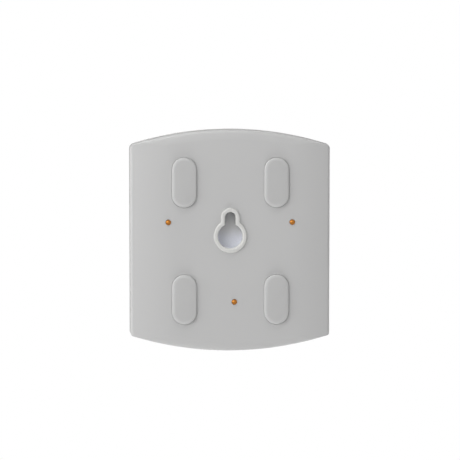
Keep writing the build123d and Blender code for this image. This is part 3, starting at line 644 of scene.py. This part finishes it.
def shade_cover(piece, inset, edge_radius, base_z, way):
    """Gives a cover's big face the normals of its true curve. way is 1 for a face that looks up, else -1."""
    data = piece.data
    normals = [Vector(corner.vector) for corner in data.corner_normals]
    for polygon in data.polygons:
        if abs(polygon.normal.z) < UPRIGHT:
            for index in polygon.loop_indices:
                normals[index] = Vector((normals[index].x, normals[index].y, 0.0)).normalized()
            continue
        if polygon.normal.z * way < 0:
            continue
        found = []
        for index in polygon.loop_indices:
            point = data.vertices[data.loops[index].vertex_index].co
            depth = (base_z - point.z) * way
            found.append([
                Vector((normal.x, normal.y, normal.z * way))
                for curve_depth, normal in curves_at(point, inset, edge_radius)
                if abs(curve_depth - depth) < FORM_TOLERANCE
            ])
        # A triangle takes the curve's normals only where all its corners lie on the curve
        if not all(found):
            continue
        for index, choices in zip(polygon.loop_indices, found):
            near = [normal for normal in choices if normal.dot(polygon.normal) > SAME_SURFACE]
            if near:
                normals[index] = max(near, key=polygon.normal.dot)
    data.normals_split_custom_set(normals)


def place_moulding(name, mesh, slot, body="case"):
    """Puts a finer form of a CAD node in its place."""
    piece = finished_piece(name + "_moulded", mesh, FINISHES[slot])
    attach(piece, body)
    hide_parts(name)
    return piece


# Covers, hanger, light ring and button

def make_covers():
    """Both covers, with the light falling on their true curves."""
    rear = place_moulding("rear_cover", joined_copy("rear_cover"), "rear_shell")
    shade_cover(rear, REAR_INSET, REAR_EDGE_RADIUS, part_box("rear_cover")[0].z, -1)
    front = place_moulding("front_cover", joined_copy("front_cover"), "front_shell")
    shade_cover(front, 0.0, FRONT_EDGE_RADIUS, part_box("front_cover")[1].z, 1)


def make_hanger():
    """The hanger cup, its raised rim rounded inside and out."""
    rim_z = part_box("hanger_cup")[0].z
    cup = joined_copy("hanger_cup")
    round_edges(cup, rim_z - RIM_ROUND, rim_z + RIM_ROUND / 2, RIM_ROUND)
    place_moulding("hanger_cup", cup, "hanger")


def make_button():
    """The light ring and the dished button in it, with their upper edges rounded."""
    top_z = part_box("light_ring")[1].z
    ring = joined_copy("light_ring")
    round_edges(ring, top_z - RING_ROUND / 2, top_z + RING_ROUND, RING_ROUND)
    place_moulding("light_ring", ring, "light_guide")
    top_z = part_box("test_button")[1].z
    cap = joined_copy("test_button")
    round_edges(cap, top_z - BUTTON_EDGE - BUTTON_ROUND / 2, top_z + BUTTON_ROUND, BUTTON_ROUND)
    place_moulding("test_button", cap, "button", "button")


# What repeats

def new_tree(name, inputs):
    """A Geometry Nodes tree with named inputs, the last of them its finish, and its start node."""
    tree = bpy.data.node_groups.new(name, "GeometryNodeTree")
    for label, kind in [*inputs, ("Finish", "NodeSocketMaterial")]:
        tree.interface.new_socket(label, in_out="INPUT", socket_type=kind)
    tree.interface.new_socket("Result", in_out="OUTPUT", socket_type="NodeSocketGeometry")
    return tree, add_node(tree, "NodeGroupInput")


def end_tree(tree, start, geometry):
    """Ends a Geometry Nodes tree with its geometry made real and in its finish."""
    solid = add_node(tree, "GeometryNodeRealizeInstances")
    finish = add_node(tree, "GeometryNodeSetMaterial")
    end = add_node(tree, "NodeGroupOutput")
    tree.links.new(geometry, solid.inputs["Geometry"])
    tree.links.new(solid.outputs["Geometry"], finish.inputs["Geometry"])
    tree.links.new(start.outputs["Finish"], finish.inputs["Material"])
    tree.links.new(finish.outputs["Geometry"], end.inputs["Result"])


def copies_tree(name):
    """A Geometry Nodes tree that sets copies of one piece on the points of a mesh, at a named size."""
    tree, start = new_tree(name, [
        ("Places", "NodeSocketGeometry"), ("Piece", "NodeSocketObject"), ("Size", "NodeSocketFloat"),
    ])
    piece = add_node(tree, "GeometryNodeObjectInfo", transform_space="ORIGINAL")
    points = add_node(tree, "GeometryNodeMeshToPoints", mode="VERTICES")
    copies = add_node(tree, "GeometryNodeInstanceOnPoints")
    link = tree.links.new
    link(start.outputs["Places"], points.inputs["Mesh"])
    link(points.outputs["Points"], copies.inputs["Points"])
    link(start.outputs["Piece"], piece.inputs["Object"])
    link(piece.outputs["Geometry"], copies.inputs["Instance"])
    link(start.outputs["Size"], copies.inputs["Scale"])
    end_tree(tree, start, copies.outputs["Instances"])
    return tree


COPIES = copies_tree("Copies at places")


def set_inputs(modifier, **values):
    """Sets a tree's named inputs by their identifiers. An underscore in a name stands for a space."""
    sockets = {
        item.name: item.identifier
        for item in modifier.node_group.interface.items_tree
        if item.item_type == "SOCKET" and item.in_out == "INPUT"
    }
    for key, value in values.items():
        modifier[sockets[key.replace("_", " ")]] = value


def grown_piece(name, tree, data, **values):
    """What a Geometry Nodes tree makes of a mesh and its named inputs, as a plain mesh object."""
    holder = new_object(name + "_holder", data)
    modifier = holder.modifiers.new(tree.name, "NODES")
    modifier.node_group = tree
    set_inputs(modifier, **values)
    bpy.context.view_layer.update()
    depsgraph = bpy.context.evaluated_depsgraph_get()
    grown = bpy.data.meshes.new_from_object(holder.evaluated_get(depsgraph), depsgraph=depsgraph)
    grown.name = name
    bpy.data.objects.remove(holder)
    return new_object(name, grown)


def copied_piece(name, form, places, slot):
    """Copies of a form at several places, as one mesh in a finish of the record."""
    source = finished_piece(name + "_one", form, FINISHES[slot])
    data = bpy.data.meshes.new(name + "_places")
    data.from_pydata(places, [], [])
    copies = grown_piece(name, COPIES, data, Piece=source, Size=1.0, Finish=FINISHES[slot])
    bpy.data.objects.remove(source)
    return copies


# Places and loops of points

def middle_of(name):
    """The middle of a CAD node's box."""
    low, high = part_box(name)
    return (low + high) / 2


def places_of(names):
    """Where several like CAD nodes stand: the middle of each, at the height where the first one starts."""
    low_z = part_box(names[0])[0].z
    return [(*middle_of(name).xy, low_z) for name in names]


def ring_of(mesh, radii, z):
    """A closed loop of points round Z, one at each of the radii."""
    loop = []
    for step, radius in enumerate(radii):
        turn = 2 * math.pi * step / len(radii)
        loop.append(mesh.verts.new((radius * math.cos(turn), radius * math.sin(turn), z)))
    return loop


def join_loops(mesh, loops):
    """Faces between each closed loop of points and the next. A loop may be one point that repeats."""
    for first, second in zip(loops, loops[1:]):
        for i in range(len(first)):
            j = (i + 1) % len(first)
            mesh.faces.new(list(dict.fromkeys((first[i], first[j], second[j], second[i]))))


def close_ends(mesh, loops):
    """A face over the last loop and one over the first."""
    mesh.faces.new(loops[-1])
    mesh.faces.new(list(reversed(loops[0])))


# Feet

def foot_outline(half_width, half_straight):
    """The foot's outline, as points round two half circles joined by straight sides."""
    points = []
    for end in (1, -1):
        for step in range(FOOT_END_STEPS + 1):
            turn = math.pi * step / FOOT_END_STEPS
            x = half_width * math.cos(turn) * end
            y = (half_width * math.sin(turn) + half_straight) * end
            points.append((x, y))
    return points


def foot_form(half_width, half_straight, top_z):
    """One soft foot about its own middle, from the floor of its recess down to its sole at z = 0."""
    mesh = bmesh.new()
    rings = [(0.0, top_z)]
    for step in range(FOOT_ROLL_STEPS + 1):
        turn = math.pi / 2 * step / FOOT_ROLL_STEPS
        rings.append((FOOT_ROLL_WIDTH * (1 - math.cos(turn)), FOOT_ROLL_HEIGHT * (1 - math.sin(turn))))
    loops = []
    for inset, z in rings:
        loops.append([mesh.verts.new((x, y, z)) for x, y in foot_outline(half_width - inset, half_straight)])
    join_loops(mesh, loops)
    close_ends(mesh, loops)
    bmesh.ops.remove_doubles(mesh, verts=mesh.verts, dist=WELD_DISTANCE)
    bmesh.ops.recalc_face_normals(mesh, faces=mesh.faces)
    return mesh


def make_feet():
    """The four feet, one in each quarter of the back."""
    names = ["foot_upper_left", "foot_upper_right", "foot_lower_left", "foot_lower_right"]
    low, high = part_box(names[0])
    half_width = (high.x - low.x) / 2 - FOOT_GAP
    half_straight = (high.y - low.y) / 2 - FOOT_GAP - half_width
    form = foot_form(half_width, half_straight, high.z - low.z)
    feet = copied_piece("feet_pads", form, places_of(names), "feet")
    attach(feet, "case")
    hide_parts(*names)


# Round pieces

def turned_form(section, steps):
    """A closed solid of revolution about Z. Each point of its half section is a radius and a height."""
    mesh = bmesh.new()
    loops = []
    for radius, z in section:
        if radius == 0:
            loops.append([mesh.verts.new((0.0, 0.0, z))] * steps)
        else:
            loops.append(ring_of(mesh, [radius] * steps, z))
    join_loops(mesh, loops)
    bmesh.ops.recalc_face_normals(mesh, faces=mesh.faces)
    return mesh


def pin_form(height):
    """One probe pin from its tip at z = 0: a dome with a rolled corner, the shank, the flange, the stub."""
    dome_radius = (PIN_RADIUS**2 + PIN_DOME**2) / (2 * PIN_DOME)
    section = []
    for step in range(PIN_DOME_STEPS + 1):
        radius = (PIN_RADIUS - PIN_CORNER / 2) * step / PIN_DOME_STEPS
        section.append((radius, dome_radius - math.sqrt(dome_radius**2 - radius**2)))
    dome_z = section[-1][1]
    flange_top = PIN_FLANGE_FROM_TIP + PIN_FLANGE_THICKNESS
    section += [
        # One point half way round the corner, then the shank
        (PIN_RADIUS - PIN_CORNER / 6, dome_z + PIN_CORNER / 4),
        (PIN_RADIUS, dome_z + PIN_CORNER),
        (PIN_RADIUS, PIN_FLANGE_FROM_TIP),
        (PIN_FLANGE_RADIUS, PIN_FLANGE_FROM_TIP),
        (PIN_FLANGE_RADIUS, flange_top),
        (PIN_STUB_RADIUS, flange_top),
        (PIN_STUB_RADIUS, height),
        (0, height),
    ]
    return turned_form(section, PIN_STEPS)


def make_pins():
    """The three probe pins."""
    names = ["probe_left", "probe_right", "probe_lower"]
    low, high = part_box(names[0])
    pins = copied_piece("probe_pins", pin_form(high.z - low.z), places_of(names), "gold")
    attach(pins, "case")
    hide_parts(*names)


def screw_form(height):
    """One cover screw from its head's outer face at z = 0, with a rounded pan head and a rolled thread."""
    head = [
        (0, 0),
        (SCREW_HEAD_RADIUS - SCREW_HEAD_ROUND, 0),
        # One point half way round the head's edge, then its side
        (SCREW_HEAD_RADIUS - SCREW_HEAD_ROUND / 3, SCREW_HEAD_ROUND / 3),
        (SCREW_HEAD_RADIUS, SCREW_HEAD_ROUND),
        (SCREW_HEAD_RADIUS, SCREW_HEAD_HEIGHT),
        (SCREW_CREST_RADIUS, SCREW_HEAD_HEIGHT),
        (0, SCREW_HEAD_HEIGHT),
    ]
    mesh = turned_form(head, THREAD_STEPS)
    rows = int((height - SCREW_HEAD_HEIGHT) / THREAD_PITCH * ROWS_PER_TURN)
    step_up = (height - SCREW_HEAD_HEIGHT) / rows
    loops = []
    for row in range(rows + 1):
        z = SCREW_HEAD_HEIGHT + row * step_up
        radii = []
        for step in range(THREAD_STEPS):
            # 0 at the thread's root and 1 at its crest
            share = abs((z / THREAD_PITCH - step / THREAD_STEPS) % 1 - 0.5) * 2
            radii.append(SCREW_ROOT_RADIUS + (SCREW_CREST_RADIUS - SCREW_ROOT_RADIUS) * share)
        loops.append(ring_of(mesh, radii, z))
    join_loops(mesh, loops)
    close_ends(mesh, loops)
    return mesh


def make_screws():
    """The four cover screws, behind the feet."""
    low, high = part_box("cover_screws")
    reach_x = high.x - SCREW_HEAD_RADIUS
    reach_y = high.y - SCREW_HEAD_RADIUS
    places = [(x, y, low.z) for x in (reach_x, -reach_x) for y in (reach_y, -reach_y)]
    screws = copied_piece("threaded_screws", screw_form(high.z - low.z), places, "screw_steel")
    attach(screws, "case")
    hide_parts("cover_screws")


# Small metal on the board

def block_form(x_size, y_size, z_size):
    """A small block with worn edges that stands on z = 0."""
    mesh = bmesh.new()
    bmesh.ops.create_cube(mesh, size=1.0)
    for vertex in mesh.verts:
        vertex.co = Vector((vertex.co.x * x_size, vertex.co.y * y_size, (vertex.co.z + 0.5) * z_size))
    width = min(x_size, y_size, z_size) * WORN_SHARE
    bmesh.ops.bevel(mesh, geom=mesh.edges[:], offset=width, segments=2, profile=0.5, affect="EDGES")
    return mesh


def make_chip_pads():
    """Solder pads in a row along each side of the controller chip."""
    low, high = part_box("controller_chip")
    middle = middle_of("controller_chip")
    half = (high.x - low.x) / 2
    places = []
    for number in range(PADS_PER_SIDE):
        along = (number - (PADS_PER_SIDE - 1) / 2) * PAD_PITCH
        for side in (half, -half):
            places.append((middle.x + side, middle.y + along, low.z))
            places.append((middle.x + along, middle.y + side, low.z))
    pads = copied_piece("chip_pads", block_form(PAD_SIZE, PAD_SIZE, PAD_HEIGHT), places, "spring_metal")
    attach(pads, "case")


def make_capacitor_ends():
    """Plated ends on the small capacitors."""
    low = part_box("chip_capacitors")[0]
    middle = middle_of("chip_capacitors")
    offset = (CAPACITOR_LENGTH - END_CAP_LENGTH) / 2 + END_CAP_PROUD
    places = []
    for column in range(CAPACITORS_IN_ROW):
        x = middle.x + (column - (CAPACITORS_IN_ROW - 1) / 2) * CAPACITOR_PITCH
        for row in range(CAPACITOR_ROWS):
            y = middle.y + (row - (CAPACITOR_ROWS - 1) / 2) * CAPACITOR_PITCH
            places += [(x + offset, y, low.z), (x - offset, y, low.z)]
    width = CAPACITOR_WIDTH + 2 * END_CAP_PROUD
    form = block_form(END_CAP_LENGTH, width, CAPACITOR_WIDTH + END_CAP_PROUD)
    ends = copied_piece("capacitor_ends", form, places, "spring_metal")
    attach(ends, "case")


def winding_tree(name):
    """A Geometry Nodes tree that winds one wire in a close helix about a place."""
    tree, start = new_tree(name, [
        ("Turns", "NodeSocketFloat"), ("Radius", "NodeSocketFloat"), ("Height", "NodeSocketFloat"),
        ("Wire radius", "NodeSocketFloat"), ("Place", "NodeSocketVector"),
    ])
    helix = add_node(tree, "GeometryNodeCurveSpiral")
    helix.inputs["Resolution"].default_value = WIRE_STEPS_PER_TURN
    section = add_node(tree, "GeometryNodeCurvePrimitiveCircle")
    section.inputs["Resolution"].default_value = WIRE_STEPS
    wire = add_node(tree, "GeometryNodeCurveToMesh")
    wire.inputs["Fill Caps"].default_value = True
    move = add_node(tree, "GeometryNodeTransform")
    link = tree.links.new
    link(start.outputs["Turns"], helix.inputs["Rotations"])
    link(start.outputs["Radius"], helix.inputs["Start Radius"])
    link(start.outputs["Radius"], helix.inputs["End Radius"])
    link(start.outputs["Height"], helix.inputs["Height"])
    link(start.outputs["Wire radius"], section.inputs["Radius"])
    link(helix.outputs["Curve"], wire.inputs["Curve"])
    link(section.outputs["Curve"], wire.inputs["Profile Curve"])
    link(wire.outputs["Mesh"], move.inputs["Geometry"])
    link(start.outputs["Place"], move.inputs["Translation"])
    end_tree(tree, start, move.outputs["Geometry"])
    return tree


def make_winding():
    """Copper wire wound on the coil's waist."""
    low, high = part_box("boost_coil")
    room = high.z - low.z - 2 * COIL_CHEEK - 2 * WIRE_RADIUS
    middle = middle_of("boost_coil")
    winding = grown_piece(
        "coil_winding", winding_tree("Close winding"), bpy.data.meshes.new("coil_winding_start"),
        Turns=room / (2 * WIRE_RADIUS), Radius=COIL_WAIST + WIRE_RADIUS, Height=room,
        Wire_radius=WIRE_RADIUS, Place=(middle.x, middle.y, low.z + COIL_CHEEK + WIRE_RADIUS),
        Finish=FINISHES["wire"]
    )
    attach(winding, "case")


# Floor and room

def floor_finish():
    """Pale matt floor that fades to the white of the room and lets the view from below through."""
    material, tree, shader = new_material("floor")
    shader.inputs["Base Color"].default_value = (0.86, 0.86, 0.86, 1.0)
    shader.inputs["Roughness"].default_value = 0.9
    shader.inputs["Specular IOR Level"].default_value = 0.1
    place = add_node(tree, "ShaderNodeTexCoord")
    distance = add_node(tree, "ShaderNodeVectorMath", operation="LENGTH")
    fade = add_node(tree, "ShaderNodeMapRange", interpolation_type="SMOOTHSTEP")
    fade.inputs["From Min"].default_value = FLOOR_FADE_FROM
    fade.inputs["From Max"].default_value = FLOOR_FADE_TO
    white = add_node(tree, "ShaderNodeEmission")
    ground = add_node(tree, "ShaderNodeMixShader")
    side = add_node(tree, "ShaderNodeNewGeometry")
    clear = add_node(tree, "ShaderNodeBsdfTransparent")
    choose = add_node(tree, "ShaderNodeMixShader")
    link = tree.links.new
    link(place.outputs["Object"], distance.inputs[0])
    link(distance.outputs["Value"], fade.inputs["Value"])
    link(fade.outputs["Result"], ground.inputs["Fac"])
    link(shader.outputs["BSDF"], ground.inputs[1])
    link(white.outputs["Emission"], ground.inputs[2])
    link(side.outputs["Backfacing"], choose.inputs["Fac"])
    link(ground.outputs["Shader"], choose.inputs[1])
    link(clear.outputs["BSDF"], choose.inputs[2])
    link(choose.outputs["Shader"], tree.nodes["Material Output"].inputs["Surface"])
    return material


def make_floor():
    """Floor under the feet. It casts no shadow and gives no bounce, so the lamps below light the back."""
    half = FLOOR_SIZE / 2
    mesh = bmesh.new()
    corners = ((-half, -half), (half, -half), (half, half), (-half, half))
    mesh.faces.new([mesh.verts.new((x, y, 0.0)) for x, y in corners])
    floor = finished_piece("floor", mesh, floor_finish())
    floor.visible_shadow = False
    floor.visible_diffuse = False
    floor.visible_glossy = False
    floor.visible_transmission = False


def make_room():
    """White surroundings for the camera and for reflections, and a softer level for the light they give."""
    world = bpy.data.worlds.new("room")
    world.use_nodes = True
    bpy.context.scene.world = world
    tree = world.node_tree
    tree.nodes.clear()
    rays = add_node(tree, "ShaderNodeLightPath")
    seen = add_node(tree, "ShaderNodeMath", operation="MAXIMUM")
    through = add_node(tree, "ShaderNodeMath", operation="MAXIMUM")
    level = add_node(tree, "ShaderNodeMapRange")
    level.inputs["To Min"].default_value = ROOM_LIGHT
    level.inputs["To Max"].default_value = 1.0
    light = add_node(tree, "ShaderNodeBackground")
    light.inputs["Color"].default_value = (1.0, 1.0, 1.0, 1.0)
    end = add_node(tree, "ShaderNodeOutputWorld")
    link = tree.links.new
    link(rays.outputs["Is Camera Ray"], seen.inputs[0])
    link(rays.outputs["Is Glossy Ray"], seen.inputs[1])
    link(seen.outputs["Value"], through.inputs[0])
    link(rays.outputs["Is Transmission Ray"], through.inputs[1])
    link(through.outputs["Value"], level.inputs["Value"])
    link(level.outputs["Result"], light.inputs["Strength"])
    link(light.outputs["Background"], end.inputs["Surface"])


def add_lamp(name, place, size, power, shine=True):
    """A soft square lamp that faces the sensor. One without shine gives light but no highlight."""
    data = bpy.data.lights.new(name, "AREA")
    data.shape = "SQUARE"
    data.size = size
    data.energy = power
    lamp = new_object(name, data)
    lamp.location = place
    lamp.rotation_euler = (-Vector(place)).to_track_quat("-Z", "Y").to_euler()
    lamp.visible_glossy = shine


def make_lamps():
    """Below: a key, a side light, a glint for the pins and a low light per edge. Above: a key and a fill."""
    add_lamp("key_below", (0.40, 0.40, -0.70), 0.60, 2.33)
    add_lamp("side_below", (0.52, 0.15, -0.32), 0.30, 0.9)
    add_lamp("glint_below", (0.12, 0.15, -0.85), 0.10, 0.25)
    add_lamp("upper_edge_below", (0.10, 0.68, -0.16), 0.30, 2.3, shine=False)
    add_lamp("lower_edge_below", (0.0, -0.68, -0.14), 0.30, 3.0, shine=False)
    add_lamp("left_edge_below", (0.68, 0.0, -0.14), 0.30, 1.8, shine=False)
    add_lamp("right_edge_below", (-0.68, 0.0, -0.14), 0.30, 1.0, shine=False)
    add_lamp("key_above", (-0.45, -0.35, 0.80), 0.50, 5.6)
    add_lamp("fill_above", (0.70, 0.30, 0.70), 0.80, 2.3)


def make_camera():
    """Camera at the photograph's angle, from the image's own scale and the place of the back in it."""
    towards_camera = Vector((math.tan(CAMERA_TURN), math.tan(CAMERA_TILT), -1.0)).normalized()
    forward = -towards_camera
    right = forward.cross(Vector((0.0, 1.0, 0.0))).normalized()
    up = right.cross(forward)
    back_middle = Vector((0.0, 0.0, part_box("rear_cover")[0].z))
    aim = back_middle + right * (IMAGE_MIDDLE - BACK_MIDDLE_PX[0]) * PIXEL
    aim += up * (BACK_MIDDLE_PX[1] - IMAGE_MIDDLE) * PIXEL
    data = bpy.data.cameras.new("camera")
    data.sensor_width = SENSOR_WIDTH
    data.lens = SENSOR_WIDTH * CAMERA_DISTANCE / (IMAGE_WIDTH * PIXEL)
    data.clip_start = 0.01
    data.clip_end = 10.0
    camera = new_object("camera", data)
    turn = Matrix((right, up, -forward)).transposed()
    camera.matrix_world = Matrix.Translation(aim + towards_camera * CAMERA_DISTANCE) @ turn.to_4x4()
    bpy.context.scene.camera = camera


# The whole scene

dress_nodes()
make_covers()
make_hanger()
make_button()
make_feet()
make_pins()
make_screws()
make_chip_pads()
make_capacitor_ends()
make_winding()
make_floor()
make_room()
make_lamps()
make_camera()
bpy.context.scene.view_settings.view_transform = "Standard"
